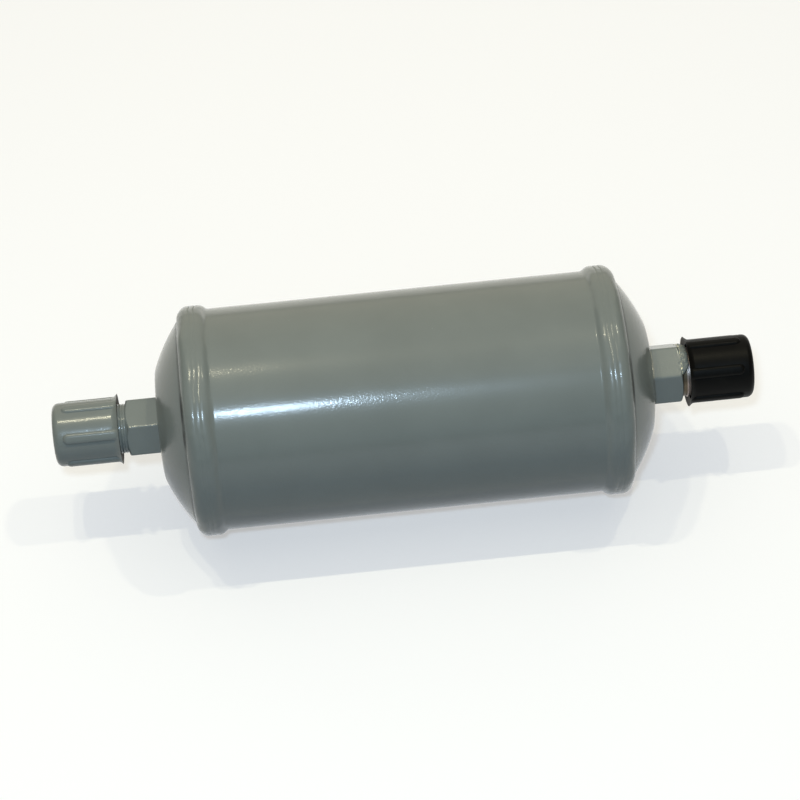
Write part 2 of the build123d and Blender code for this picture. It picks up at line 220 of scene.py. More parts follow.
class StageSettings(bpy.types.PropertyGroup):
    """The floor, the lamps and the camera."""

    lens: number("Lens", "Focal length of the camera", 126, unit="CAMERA")
    distance: length("Distance", "From the camera to the vessel's middle", 0.9644)
    elevation: angle("Elevation", "Height of the camera above the horizon", 45)
    yaw: angle("Yaw", "How far the camera stands towards the inlet", 1.92)
    roll: angle("Roll", "How far the vessel's axis rises to the right", 5.785)
    aside: length("Aside", "How far the vessel's middle lies right of the lens axis", 0.00156)
    below: length("Below", "How far the vessel's middle lies under the lens axis", 0.00017)
    floor: colour("Floor", "Colour of the floor", (0.95, 0.95, 0.97))
    floor_bounce: colour("Floor Bounce", "Light that the floor throws back", (0.1, 0.123, 0.135))
    floor_glow: share("Floor Glow", "How much of the floor's white needs no light", 0.45)
    room: colour("Room", "Colour of the room round the floor", (0.17, 0.163, 0.14))


SETTINGS = {
    "drier_enamel": EnamelSettings,
    "drier_bead": BeadSettings,
    "drier_fitting": FittingSettings,
    "drier_collar": CollarSettings,
    "drier_cap": CapSettings,
    "drier_inner": InnerSettings,
    "drier_stage": StageSettings,
}


# ---- mesh code
def at_turn(x, radius, turn):
    """The point at a radius from the vessel's axis and at a turn about it."""
    return Vector((x, -radius * math.cos(turn), radius * math.sin(turn)))


def ring_mesh(name, rings, turns, place, sharp=math.radians(38), lids=False):
    """A closed mesh of rings round X. place(ring, turn) gives a point.

    The last ring is joined to the first, or with lids each of the two is closed by a flat face.
    """
    sides = len(turns)
    points = [place(ring, turn) for ring in range(rings) for turn in turns]
    faces = []
    for ring in range(rings - 1 if lids else rings):
        here, there = ring * sides, (ring + 1) % rings * sides
        for side in range(sides):
            beside = (side + 1) % sides
            faces.append((here + side, here + beside, there + beside, there + side))
    if lids:
        faces += [tuple(range(sides)), tuple(range((rings - 1) * sides, rings * sides))]
    mesh = bpy.data.meshes.new(name)
    mesh.from_pydata(points, [], faces)
    surface = bmesh.new()
    surface.from_mesh(mesh)
    bmesh.ops.recalc_face_normals(surface, faces=surface.faces)
    surface.to_mesh(mesh)
    surface.free()
    mesh.shade_smooth()
    mesh.set_sharp_from_angle(angle=sharp)
    piece = bpy.data.objects.new(name, mesh)
    bpy.context.scene.collection.objects.link(piece)
    return piece


def even_turns(count):
    return [2 * math.pi * index / count for index in range(count)]


def corner_turns(first_corner, per_side=22, gather=1.6):
    """Turns round a hexagon, gathered towards its corners."""
    half = math.pi / HEXAGON
    parts = [step / per_side for step in range(-per_side, per_side)]
    return [
        first_corner + 2 * half * corner + math.copysign(half * abs(part) ** gather, part)
        for corner in range(HEXAGON) for part in parts
    ]


def between(low, high, count):
    """Evenly spaced values from low to high, both included."""
    return [low + (high - low) * index / (count - 1) for index in range(count)]


def smooth_step(value):
    """Rises from 0 to 1 with level ends."""
    value = min(1.0, max(0.0, value))
    return value * value * (3 - 2 * value)


def ripple(point, size, seed):
    """Smooth noise from -1 to 1 with one bump per size."""
    return noise.noise(point / size + Vector((seed, seed * 0.7, seed * 1.3)))


# ---- node code
def plug(tree, socket, value):
    """Feeds a socket from an output, or gives it a value. A colour may come without its alpha."""
    if isinstance(value, bpy.types.NodeSocket):
        tree.links.new(value, socket)
    elif socket.type == "RGBA":
        socket.default_value = (*value, 1)[:4]
    else:
        socket.default_value = value


def add_node(tree, kind, sockets=None, **settings):
    """A shader node. sockets gives the value, or the output that feeds it, of each input."""
    node = tree.nodes.new(kind)
    for key, value in settings.items():
        setattr(node, key, value)
    for key, value in (sockets or {}).items():
        plug(tree, node.inputs[key], value)
    return node


def maths(tree, operation, *values, clamp=False):
    sockets = dict(enumerate(values))
    node = add_node(tree, "ShaderNodeMath", sockets, operation=operation, use_clamp=clamp)
    return node.outputs[0]


def times(tree, first, second):
    return maths(tree, "MULTIPLY", first, second)


def apart(tree, first, second):
    """How far two values lie from each other."""
    return maths(tree, "ABSOLUTE", maths(tree, "SUBTRACT", first, second))


def mixed_colour(tree, factor, first, second):
    sockets = {0: factor, 6: first, 7: second}
    return add_node(tree, "ShaderNodeMix", sockets, data_type="RGBA").outputs[2]


def mixed_value(tree, factor, first, second):
    sockets = {0: factor, 2: first, 3: second}
    return add_node(tree, "ShaderNodeMix", sockets, data_type="FLOAT").outputs[0]


def ranged(tree, value, from_low, from_high, to_low=0.0, to_high=1.0):
    sockets = {0: value, 1: from_low, 2: from_high, 3: to_low, 4: to_high}
    return add_node(tree, "ShaderNodeMapRange", sockets).outputs[0]


def noise_value(tree, point, scale, detail=2.0, roughness=0.5):
    sockets = {"Vector": point, "Scale": scale, "Detail": detail, "Roughness": roughness}
    return add_node(tree, "ShaderNodeTexNoise", sockets).outputs[0]


def own_point(tree):
    """Where the surface lies in its own piece, so that the pattern moves with the piece."""
    return add_node(tree, "ShaderNodeTexCoord").outputs["Object"]


def parts_of(tree, point):
    """The X, Y and Z of a point."""
    return add_node(tree, "ShaderNodeSeparateXYZ", {0: point}).outputs


def outward(tree, point):
    """A point's distance along X from the vessel's middle, at either end."""
    return maths(tree, "ABSOLUTE", parts_of(tree, point)[0])


FLOAT, COLOUR = "NodeSocketFloat", "NodeSocketColor"


def new_effect(name, inputs, outputs):
    """An empty node group with named sockets, and its inner input and output nodes."""
    tree = bpy.data.node_groups.new(name, "ShaderNodeTree")
    for socket_name, default in inputs.items():
        kind = COLOUR if isinstance(default, tuple) else FLOAT
        socket = tree.interface.new_socket(socket_name, in_out="INPUT", socket_type=kind)
        socket.default_value = default
    for socket_name, kind in outputs.items():
        tree.interface.new_socket(socket_name, in_out="OUTPUT", socket_type=kind)
    given, result = tree.nodes.new("NodeGroupInput"), tree.nodes.new("NodeGroupOutput")
    return tree, given.outputs, result.inputs


def orange_peel_effect():
    """Height of sprayed enamel: rounded dimples of two sizes and a few dust nibs."""
    tree, given, result = new_effect(
        "Orange Peel",
        {"Dimple Size": 0.001, "Grit Spacing": 0.006},
        {"Height": FLOAT, "Grit": FLOAT},
    )
    point = own_point(tree)
    per_dimple = maths(tree, "DIVIDE", 1.0, given["Dimple Size"])
    coarse = noise_value(tree, point, times(tree, per_dimple, 0.42), 1.0)
    fine = noise_value(tree, point, per_dimple, 2.0, 0.6)
    tree.links.new(mixed_value(tree, 0.75, coarse, fine), result["Height"])
    per_grit = maths(tree, "DIVIDE", 1.0, given["Grit Spacing"])
    cells = add_node(tree, "ShaderNodeTexVoronoi", {"Vector": point, "Scale": per_grit}).outputs
    lot = add_node(tree, "ShaderNodeSeparateColor", {0: cells["Color"]}).outputs[0]
    nib = ranged(tree, cells["Distance"], 0.0, 0.035, 1.0, 0.0)
    tree.links.new(times(tree, nib, maths(tree, "GREATER_THAN", lot, 0.72)), result["Grit"])
    return tree


def paint_tone_effect():
    """Colour of enamel that drifts a little, with nibs that show lighter."""
    tree, given, result = new_effect(
        "Paint Tone",
        {"Color": (0.2, 0.2, 0.2, 1), "Drift": 0.05, "Grit": 0.0},
        {"Color": COLOUR, "Roughness Shift": FLOAT},
    )
    point = own_point(tree)
    cloud = noise_value(tree, point, 38.0, 4.0, 0.55)
    low = maths(tree, "SUBTRACT", 1.0, given["Drift"])
    high = maths(tree, "ADD", 1.0, given["Drift"])
    level = ranged(tree, cloud, 0.3, 0.7, low, high)
    sockets = {0: given["Color"], 1: level}
    toned = add_node(tree, "ShaderNodeVectorMath", sockets, operation="MULTIPLY").outputs[0]
    lighter = mixed_colour(tree, times(tree, given["Grit"], 0.35), toned, (0.5, 0.5, 0.46))
    tree.links.new(lighter, result["Color"])
    smudges = ranged(tree, noise_value(tree, point, 90.0, 3.0), 0.3, 0.7, -0.02, 0.03)
    tree.links.new(smudges, result["Roughness Shift"])
    return tree


def paint_edge_effect():
    """Mask of the bare metal beyond a ragged edge of paint round X."""
    tree, given, result = new_effect(
        "Paint Edge",
        {"Edge": 0.1, "Raggedness": 0.0004, "Ragged Size": 0.002},
        {"Bare": FLOAT, "Rim": FLOAT},
    )
    point = own_point(tree)
    per_tooth = maths(tree, "DIVIDE", 1.0, given["Ragged Size"])
    wave = noise_value(tree, point, per_tooth, 4.0, 0.6)
    ragged = times(tree, maths(tree, "SUBTRACT", wave, 0.5), given["Raggedness"])
    reach = maths(tree, "ADD", outward(tree, point), ragged)
    beyond = maths(tree, "SUBTRACT", reach, given["Edge"])
    tree.links.new(ranged(tree, beyond, 0.0, 0.00003), result["Bare"])
    rim = ranged(tree, maths(tree, "ABSOLUTE", beyond), 0.0, 0.0002, 1.0, 0.0)
    tree.links.new(rim, result["Rim"])
    return tree


def painted_crease_shade_effect():
    """Painted shade in a crease round X, darkest over a window of turns and broken up along its
    length.
    """
    tree, given, result = new_effect(
        "Painted Crease Shade",
        {"Crease": 0.07, "Half Width": 0.0004, "Turn": 0.8, "Reach": 0.3, "Elsewhere": 0.45},
        {"Shade": FLOAT},
    )
    point = own_point(tree)
    _, across, up = parts_of(tree, point)
    turn = maths(tree, "ARCTAN2", up, times(tree, across, -1.0))
    half_reach = times(tree, given["Reach"], 0.5)
    round_away = apart(tree, turn, given["Turn"])
    here = ranged(tree, round_away, half_reach, given["Reach"], 1.0, given["Elsewhere"])
    core = times(tree, given["Half Width"], 0.4)
    away = apart(tree, outward(tree, point), given["Crease"])
    near = ranged(tree, away, core, given["Half Width"], 1.0, 0.0)
    broken = ranged(tree, noise_value(tree, point, 90.0, 3.0), 0.3, 0.5, 0.4, 1.0)
    tree.links.new(times(tree, times(tree, near, here), broken), result["Shade"])
    return tree


EFFECTS = {
    "Orange Peel": orange_peel_effect,
    "Paint Tone": paint_tone_effect,
    "Paint Edge": paint_edge_effect,
    "Painted Crease Shade": painted_crease_shade_effect,
}


def place_effect(tree, name, **sockets):
    """A node of a shared effect, whose group is built when it is first asked for."""
    group = bpy.data.node_groups.get(name) or EFFECTS[name]()
    sockets = {key.replace("_", " "): value for key, value in sockets.items()}
    return add_node(tree, "ShaderNodeGroup", sockets, node_tree=group)


def new_material(name, **sockets):
    """A material with one Principled shader, and its node tree."""
    material = bpy.data.materials.new(name)
    material.use_nodes = True
    shader = material.node_tree.nodes["Principled BSDF"]
    for key, value in sockets.items():
        shader.inputs[key.replace("_", " ")].default_value = value
    return material, material.node_tree


def feed(material, **outputs):
    """Feeds a material's shader, and gives the material back."""
    tree = material.node_tree
    for key, output in outputs.items():
        tree.links.new(output, tree.nodes["Principled BSDF"].inputs[key.replace("_", " ")])
    return material


def bumped(tree, *layers):
    """One normal from several (height, depth) layers."""
    normal = {}
    for height, depth in layers:
        sockets = {"Strength": 1.0, "Distance": depth, "Height": height, **normal}
        normal = {"Normal": add_node(tree, "ShaderNodeBump", sockets).outputs[0]}
    return normal["Normal"]


# ---- materials
ENAMEL_SHEEN = {
    "IOR": 1.5, "Specular_IOR_Level": 0.2,
    "Coat_Weight": 0.28, "Coat_Roughness": 0.3, "Coat_IOR": 1.5,
}
# Colour and roughness of the painted shade in the crease between bead and head.
PAINTED_SHADE_TINT, PAINTED_SHADE_ROUGHNESS = (0.012, 0.012, 0.011), 0.8
PAINT_RIM_TINT = (0.3, 0.29, 0.25)
# Cream of the painted highlights on the torn enamel.
PAINTED_GLINT_TINT = (0.85, 0.78, 0.5)
SCUFF_TINT = (0.006, 0.0057, 0.0048)
# Painted shade seen through the gaps of the wire cloth.
GAP_SHADE_TINT = (0.02, 0.02, 0.02)
# Plain and stained steel, on the neck under the paint's edge and beyond it.
# Painted reflections: the neck's dark brown and the lighter pink band beyond it stand for the room
# mirrored in one steel.
NECK_TINTS = (0.17, 0.14, 0.095), (0.07, 0.055, 0.035)
THREAD_TINTS = (0.62, 0.53, 0.49), (0.4, 0.34, 0.3)
# Repeats in a metre of each pattern.
TURNING_LINES, STAINS, FLECKS, SCUFFS, CLOUDS, GRANULES = 6500, 260, 2600, 140, 120, 900
WIRES = 5200               # radians in a metre


def enamel_layers(tree, enamel):
    """Colour, roughness and normal of the enamel, from the shared effects."""
    peel = place_effect(
        tree, "Orange Peel", Dimple_Size=enamel.peel_size, Grit_Spacing=enamel.grit_size
    ).outputs
    tone = place_effect(
        tree, "Paint Tone", Color=enamel.tint, Drift=enamel.drift, Grit=peel["Grit"]
    ).outputs
    crease = place_effect(
        tree, "Painted Crease Shade",
        Crease=BEAD_HIGH.x + enamel.crease_shade_width / 2, Half_Width=enamel.crease_shade_width,
        Turn=enamel.crease_shade_turn, Reach=enamel.crease_shade_reach,
    )
    # Painted shade darkens the enamel in the crease between bead and head.
    shade = times(tree, crease.outputs["Shade"], enamel.crease_shade)
    tint = mixed_colour(tree, shade, tone["Color"], PAINTED_SHADE_TINT)
    rough = maths(tree, "ADD", tone["Roughness Shift"], enamel.roughness)
    rough = mixed_value(tree, shade, rough, PAINTED_SHADE_ROUGHNESS)
    normal = bumped(tree, (peel["Height"], enamel.peel_depth), (peel["Grit"], enamel.grit_depth))
    return tint, rough, normal


def enamel_material(enamel):
    """The grey enamel, which several pieces share."""
    found = bpy.data.materials.get("Grey Enamel")
    if found:
        return found
    material, tree = new_material("Grey Enamel", **ENAMEL_SHEEN)
    tint, rough, normal = enamel_layers(tree, enamel)
    return feed(material, Base_Color=tint, Roughness=rough, Normal=normal)


def fitting_material(enamel, name, edge):
    """Enamel up to a ragged edge, then turned and plated steel."""
    material, tree = new_material(name, **ENAMEL_SHEEN)
    tint, rough, normal = enamel_layers(tree, enamel)
    mask = place_effect(tree, "Paint Edge", Edge=edge).outputs
    # Painted reflection: the steel turns lighter and pink from just inside the cap's mouth outwards.
    reflection_band = place_effect(
        tree, "Paint Edge", Edge=MOUTH_X["outlet"] - 0.0007, Raggedness=0.0002
    ).outputs["Bare"]
    bare = mask["Bare"]
    point = own_point(tree)
    along = times(tree, parts_of(tree, point)[0], TURNING_LINES)
    lines = add_node(tree, "ShaderNodeCombineXYZ", {0: along}).outputs[0]
    marked = bumped(tree, (noise_value(tree, lines, 1.0, 3.0), 0.000012))
    stain = noise_value(tree, point, STAINS, 4.0, 0.6)
    neck, thread = (
        mixed_colour(tree, ranged(tree, stain, 0.35, 0.7), *tints)
        for tints in (NECK_TINTS, THREAD_TINTS)
    )
    metal = mixed_colour(tree, reflection_band, neck, thread)
    painted = mixed_colour(tree, mask["Rim"], tint, PAINT_RIM_TINT)
    sockets = {0: bare, 4: normal, 5: marked}
    return feed(
        material,
        Base_Color=mixed_colour(tree, bare, painted, metal),
        Roughness=mixed_value(tree, bare, rough, ranged(tree, stain, 0.3, 0.7, 0.28, 0.42)),
        Metallic=bare,
        Normal=add_node(tree, "ShaderNodeMix", sockets, data_type="VECTOR").outputs[1],
    )


def torn_enamel_material(enamel, hexagon_end):
    """Enamel with cream specks, painted highlights for glints on the torn paint, most along the
    hexagon's end.
    """
    material, tree = new_material("Torn Enamel", **ENAMEL_SHEEN)
    tint, rough, normal = enamel_layers(tree, enamel)
    point = own_point(tree)
    # Painted highlights: cream specks stand for glints on the torn paint, gathered along the
    # hexagon's end.
    off_edge = apart(tree, outward(tree, point), hexagon_end)
    edge = ranged(tree, off_edge, 0.0, 0.0004, 0.1, 0.0)
    flecks = noise_value(tree, point, FLECKS, 2.0)
    painted_glints = ranged(tree, maths(tree, "ADD", flecks, edge), 0.64, 0.7)
    tint = mixed_colour(tree, painted_glints, tint, PAINTED_GLINT_TINT)
    return feed(material, Base_Color=tint, Roughness=rough, Normal=normal)


def cap_plastic_material(cap):
    """Black moulded plastic with a fine grain and a few scuffs."""
    material, tree = new_material("Black Cap Plastic", IOR=1.45, Specular_IOR_Level=0.1)
    point = own_point(tree)
    grain = noise_value(tree, point, 1 / cap.grain_size, 3.0, 0.6)
    scuffs = noise_value(tree, point, SCUFFS, 5.0, 0.65)
    return feed(
        material,
        Base_Color=mixed_colour(tree, ranged(tree, scuffs, 0.5, 0.85), cap.plastic, SCUFF_TINT),
        Roughness=ranged(tree, scuffs, 0.3, 0.75, cap.sheen - 0.04, cap.sheen + 0.08),
        Normal=bumped(tree, (grain, cap.grain_depth)),
    )


def darker(tint, level):
    return tuple(channel * level for channel in tint)


def metal_material(name, tint, roughness, grain_size, grain_depth):
    """Bare metal with a fine grain and cloudy patches."""
    material, tree = new_material(name, Metallic=1.0)
    point = own_point(tree)
    grain = noise_value(tree, point, 1 / grain_size, 3.0)
    cloud = noise_value(tree, point, CLOUDS, 4.0, 0.6)
    return feed(
        material,
        Base_Color=mixed_colour(tree, ranged(tree, cloud, 0.35, 0.7), tint, darker(tint, 0.7)),
        Roughness=ranged(tree, cloud, 0.3, 0.7, roughness - 0.06, roughness + 0.08),
        Normal=bumped(tree, (grain, grain_depth)),
    )


def woven_screen_material(tint):
    """Plated wire cloth: two crossed sets of wires, with painted shade in the gaps."""
    material, tree = new_material("Wire Cloth")
    _, across, up = parts_of(tree, own_point(tree))
    wires = [maths(tree, "ABSOLUTE", maths(tree, "SINE", times(tree, part, WIRES)))
             for part in (across, up)]
    cloth = maths(tree, "MAXIMUM", *wires)
    return feed(
        material,
        Base_Color=mixed_colour(tree, ranged(tree, cloth, 0.35, 0.7), GAP_SHADE_TINT, tint),
        Metallic=ranged(tree, cloth, 0.35, 0.6),
        Roughness=ranged(tree, cloth, 0.4, 1.0, 0.7, 0.34),
        Normal=bumped(tree, (cloth, 0.00015)),
    )


def fibre_material(name, tint, fibre_size, depth):
    """Matted fibres: noise stretched in two directions."""
    material, tree = new_material(name, Roughness=0.95, Specular_IOR_Level=0.2)
    point = own_point(tree)
    layers = []
    for stretch in ((1.0, 0.12, 1.0), (1.0, 1.0, 0.12)):
        sockets = {0: point, 1: stretch}
        drawn = add_node(tree, "ShaderNodeVectorMath", sockets, operation="MULTIPLY").outputs[0]
        layers.append(noise_value(tree, drawn, 1 / fibre_size, 4.0, 0.6))
    fibres = maths(tree, "MAXIMUM", *layers)
    tint = mixed_colour(tree, ranged(tree, fibres, 0.42, 0.7), darker(tint, 0.62), tint)
    return feed(material, Base_Color=tint, Normal=bumped(tree, (fibres, depth)))


def granule_material(name, tint):
    """Moulded granules: pale beads, darker towards their edges as painted shade between them."""
    material, tree = new_material(name, Roughness=0.92, Specular_IOR_Level=0.25)
    sockets = {"Vector": own_point(tree), "Scale": GRANULES}
    cells = add_node(tree, "ShaderNodeTexVoronoi", sockets).outputs
    # Painted shade: each granule darkens towards its edge, where granules meet.
    granule = ranged(tree, cells["Distance"], 0.15, 0.7, 1.0, 0.0)
    tint = mixed_colour(tree, granule, darker(tint, 0.6), tint)
    return feed(material, Base_Color=tint, Normal=bumped(tree, (granule, 0.0002)))


def dress(piece, material):
    """Puts one material on a piece: in each slot that it came with, or in a first one."""
    if not piece.material_slots:
        piece.data.materials.append(material)
    for place in piece.material_slots:
        place.material = material


def join_body(piece, replaced=None, body=VESSEL):
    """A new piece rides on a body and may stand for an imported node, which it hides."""
    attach(piece, body)
    if replaced:
        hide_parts(replaced)


# ---- pieces
class DRIER_OT_enamel_vessel(bpy.types.Operator):
    """Enamel the tube and the two heads"""

    bl_idname = "drier.enamel_vessel"
    bl_label = "Enamel Vessel"

    def execute(self, context):
        material = enamel_material(context.scene.drier_enamel)
        for name in ("shell_tube", "inlet_head", "outlet_head"):
            dress(frame["nodes"][name], material)
        return {"FINISHED"}


# Points across each part of a bead.
TOE_POINTS, VALLEY_POINTS, SIDE_POINTS = 13, 9, 22
RIPPLE_SLANT = 1.6


def bead_profile(bead):
    """Points (x, radius, how freely it ripples) across the bead, from its toe to its root."""
    toe_x, depth = BEAD_LOW.x, bead.root_depth
    centre_radius = BEAD_HIGH.z - bead.run_radius
    first_x = BEAD_HIGH.x - bead.run_radius - bead.run_pitch * (bead.runs - 1)
    valley = math.asin(bead.run_pitch / 2 / bead.run_radius)
    reach = first_x - bead.run_radius * math.sin(bead.toe_angle) - toe_x
    rise = centre_radius + bead.run_radius * math.cos(bead.toe_angle) - SHELL_RADIUS
    steep = math.tan(bead.toe_angle) * reach / rise if rise else 1.0
    points = []
    for part in between(0.0, 1.0, TOE_POINTS)[:-1]:
        blend = (steep - 1) * part ** 2 * (part - 1) + part ** 2 * (2 - part)
        points.append((toe_x + reach * part, SHELL_RADIUS + rise * blend, part))
    for run in range(bead.runs):
        last = run == bead.runs - 1
        low = -valley if run else -bead.toe_angle
        high = math.pi / 2 + bead.side_angle if last else valley
        for lean in between(low, high, SIDE_POINTS if last else VALLEY_POINTS):
            free = 1 - smooth_step((lean - 0.9) / 0.7)
            x = first_x + run * bead.run_pitch + bead.run_radius * math.sin(lean)
            points.append((x, centre_radius + bead.run_radius * math.cos(lean), free))
    end_x, end_radius, _ = points[-1]
    root_radius = SHELL_RADIUS - depth
    return points + [
        (end_x - depth, end_radius - depth, 0.0),
        (end_x - 4 * depth, root_radius - 2 * depth, 0.0),
        (toe_x + depth, root_radius, 0.0),
        (toe_x, root_radius, 0.0),
    ]


class DRIER_OT_lay_beads(bpy.types.Operator):
    """Lay the two girth weld beads, with their ripples, under the enamel"""

    bl_idname = "drier.lay_beads"
    bl_label = "Lay Weld Beads"

    def execute(self, context):
        bead = context.scene.drier_bead
        profile = bead_profile(bead)
        for end, side in ENDS.items():

            def place(ring, turn, side=side):
                x, radius, free = profile[ring]
                on_bead = at_turn(0, SHELL_RADIUS, turn)
                sway = bead.wander * ripple(on_bead, bead.wander_size, 3 + 5 * side)
                spot = on_bead + Vector((side * x * RIPPLE_SLANT, 0, 0))
                rise = ripple(spot, bead.ripple_size, 11 * side)
                depth = bead.ripple_depth * (1 + rise) / 2
                return at_turn(side * (x + free * sway), radius - free * depth, turn)

            piece = ring_mesh(f"{end}_weld_bead", len(profile), even_turns(360), place)
            dress(piece, enamel_material(context.scene.drier_enamel))
            join_body(piece, f"{end}_girth_weld")
        return {"FINISHED"}


def hexagon_radius(fitting, turn):
    """Radius of a hexagon at a turn from one of its corners, with softened corners."""
    apothem, power = fitting.across_flats / 2, fitting.corner_power
    facing = (math.cos(turn - math.pi / HEXAGON * (2 * flat + 1)) for flat in range(HEXAGON))
    return sum((part / apothem) ** power for part in facing if part > 0) ** (-1 / power)


def soft_least(first, second, power):
    """The smaller of two radii, with the corner between them rounded."""
    return (first ** -power + second ** -power) ** (-1 / power)


CHAMFER_REACH = 0.0026     # from the hexagon's end
CORNER_REACH = 0.0009      # of the enamel that gathers in a corner
RUN_OUT = 0.0008           # from the neck's last ring to the thread
CREST, FLANK = 0.08, 0.8   # shares of half a pitch


def fitting_stations(fitting):
    """(zone, outward x) of each ring of a fitting: outside from the spigot, back in the bore."""
    hexagon_end = SEAT_X + fitting.hexagon_length
    chamfer_start = hexagon_end - CHAMFER_REACH
    neck_end = THREAD_START_X - RUN_OUT
    zones = (
        ("spigot", between(SPIGOT_END_X, SEAT_X, 3)),
        ("hexagon", between(SEAT_X, SEAT_X + CORNER_REACH, 7)),
        ("hexagon", between(SEAT_X + 0.0016, chamfer_start, 7)[:-1]),
        ("hexagon", between(chamfer_start, hexagon_end, 18)),
        ("neck", between(hexagon_end, hexagon_end + CORNER_REACH, 7)),
        ("neck", between(hexagon_end + 0.0012, neck_end, 26)),
        ("thread", between(neck_end + 0.0002, THREAD_END_X, 118)),
        ("cone", between(THREAD_END_X, NOSE_X, 9)[1:]),
        ("lip", [NOSE_X]),
        ("bore", between(NOSE_X - fitting.port_chamfer, SPIGOT_END_X, 8)),
    )
    return [(zone, x) for zone, places in zones for x in places]


def fitting_radius(fitting, side, zone, x, turn):
    """Radius of a fitting at an outward x and a turn from a corner of its hexagon."""
    hexagon_end = SEAT_X + fitting.hexagon_length
    if zone == "hexagon":
        chamfer = fitting.face_radius + (hexagon_end - x) / math.tan(fitting.chamfer_angle)
        gathered = fitting.paint_fillet * math.exp(-(x - SEAT_X) / fitting.paint_fillet)
        flats = hexagon_radius(fitting, turn)
        return soft_least(flats, chamfer, fitting.corner_power) + gathered
    if zone == "neck":
        gathered = fitting.paint_fillet * math.exp((hexagon_end - x) / fitting.paint_fillet)
        if side < 0:
            wave = math.sin(2 * math.pi * (x - hexagon_end) / fitting.neck_ring_pitch)
            ring = fitting.neck_ring_height * max(0.0, wave)
        else:
            off_ring = (x - MOUTH_X["outlet"] + fitting.collar_width) / fitting.collar_width
            ring = fitting.collar_height * smooth_step(2 - 3 * abs(off_ring))
        return fitting.neck_radius + gathered + ring
    if zone in ("thread", "cone"):
        phase = x / fitting.thread_pitch + side * turn / (2 * math.pi)
        flank = abs(2 * (phase % 1) - 1)
        cut = smooth_step((flank - CREST) / FLANK) * fitting.thread_depth
        lead_in = fitting.neck_radius + 1.4 * (x - THREAD_START_X + RUN_OUT)
        flare = THREAD_RADIUS + THREAD_END_X - x
        return min(THREAD_RADIUS - cut, lead_in, flare)
    if zone == "lip":
        return fitting.port_radius + fitting.port_chamfer
    return fitting.spigot_radius if zone == "spigot" else fitting.port_radius


class DRIER_OT_turn_fittings(bpy.types.Operator):
    """Turn the two flare fittings, with rolled threads and enamel up to their caps"""

    bl_idname = "drier.turn_fittings"
    bl_label = "Turn Fittings"

    def execute(self, context):
        fitting, enamel = context.scene.drier_fitting, context.scene.drier_enamel
        corners = {"inlet": fitting.inlet_turn, "outlet": fitting.outlet_turn}
        painted_to = {
            "inlet": MOUTH_X["inlet"] + 0.0004,
            "outlet": SEAT_X + fitting.hexagon_length + 0.0001,
        }
        stations = fitting_stations(fitting)
        for end, side in ENDS.items():

            def place(ring, turn, side=side, corner=corners[end]):
                zone, x = stations[ring]
                radius = fitting_radius(fitting, side, zone, x, turn - corner)
                return at_turn(side * x, radius, turn)

            turns = corner_turns(corners[end])
            piece = ring_mesh(f"{end}_flare_fitting", len(stations), turns, place)
            name = f"Painted Fitting {end.title()}"
            dress(piece, fitting_material(enamel, name, painted_to[end]))
            join_body(piece, f"{end}_fitting")
        return {"FINISHED"}


TORN_RINGS = 30
RAGGED_RADIUS = 0.009      # at which the ragged edges of gathered enamel take their noise
# (share of its reach, share of its thickness) of each point across the web.
WEB_SECTION = (0.0, 0.0), (0.5, 0.15), (0.9, 0.3), (1.0, 0.5), (0.9, 0.7), (0.5, 0.85), (0.0, 1.0)


def turn_window(turn, start, end, soft, seed):
    """1 between two turns and 0 outside them, with ragged soft ends."""
    ragged = ripple(at_turn(0, RAGGED_RADIUS, turn), 0.0012, seed)
    begun = smooth_step((turn - start) / soft + ragged)
    return begun * smooth_step((end - turn) / soft + ragged)


class DRIER_OT_gather_enamel(bpy.types.Operator):
    """Gather the enamel that bridged each cap: torn at the outlet, a thin web at the inlet"""

    bl_idname = "drier.gather_enamel"
    bl_label = "Gather Enamel"

    def execute(self, context):
        collar, fitting = context.scene.drier_collar, context.scene.drier_fitting
        hexagon_end = SEAT_X + fitting.hexagon_length
        root_x = hexagon_end - collar.torn_root
        sunk = fitting.neck_radius - 0.0003

        def torn(ring, turn):
            if ring == TORN_RINGS:
                return at_turn(root_x, sunk, turn)
            part = ring / (TORN_RINGS - 1)
            start = collar.torn_start + collar.torn_slant * part ** 1.5
            cover = turn_window(turn, start, collar.torn_end, math.radians(7), 5)
            uneven = 1 + 0.14 * ripple(at_turn(0, RAGGED_RADIUS, turn), 0.0016, 9)
            reach = collar.torn_length * uneven + collar.torn_root
            x = root_x + reach * math.sin(part * math.pi / 2)
            slope = collar.torn_radius + (collar.torn_shoulder - collar.torn_radius) * part
            flats = hexagon_radius(fitting, turn - fitting.outlet_turn) + max(0.0, x - hexagon_end)
            crown = math.cos(part * math.pi / 2) ** 0.4
            spot = at_turn(x, collar.torn_radius, turn)
            lumps = ripple(spot, collar.lump_size, 21)
            lumps += 0.4 * ripple(spot, collar.lump_size / 3, 33)
            height = (min(slope, flats) - sunk) * crown
            height += collar.lump_height * lumps * min(1, 3 * crown)
            return at_turn(x, sunk + cover * max(0.0, height), turn)

        def web(ring, turn):
            cover = turn_window(turn, collar.web_start, collar.web_end, math.radians(14), 15)
            back = MOUTH_X["inlet"] + collar.web_depth
            out, through = WEB_SECTION[ring]
            uneven = 1 + 0.22 * ripple(at_turn(back, collar.web_radius, turn), 0.0019, 27)
            radius = sunk + cover * (collar.web_radius - sunk) * out * uneven
            return at_turn(-(back + collar.web_thickness * (through - 0.5)), radius, turn)

        enamel = context.scene.drier_enamel
        torn_enamel = torn_enamel_material(enamel, hexagon_end)
        for name, rings, place, material in (
            ("outlet_torn_collar", TORN_RINGS + 1, torn, torn_enamel),
            ("inlet_paint_web", len(WEB_SECTION), web, enamel_material(enamel)),
        ):
            piece = ring_mesh(name, rings, even_turns(420), place, sharp=math.pi)
            dress(piece, material)
            join_body(piece)
        return {"FINISHED"}


# Shares of the pitch between two ribs at which a cap has its points, closest on the rib.
RIB_PARTS = between(-0.19, 0.19, 45) + between(0.21, 0.79, 14)
CAP_LENGTH = CAP_END_X - MOUTH_X["outlet"]
END_RINGS = 2              # across the closed end, without ribs


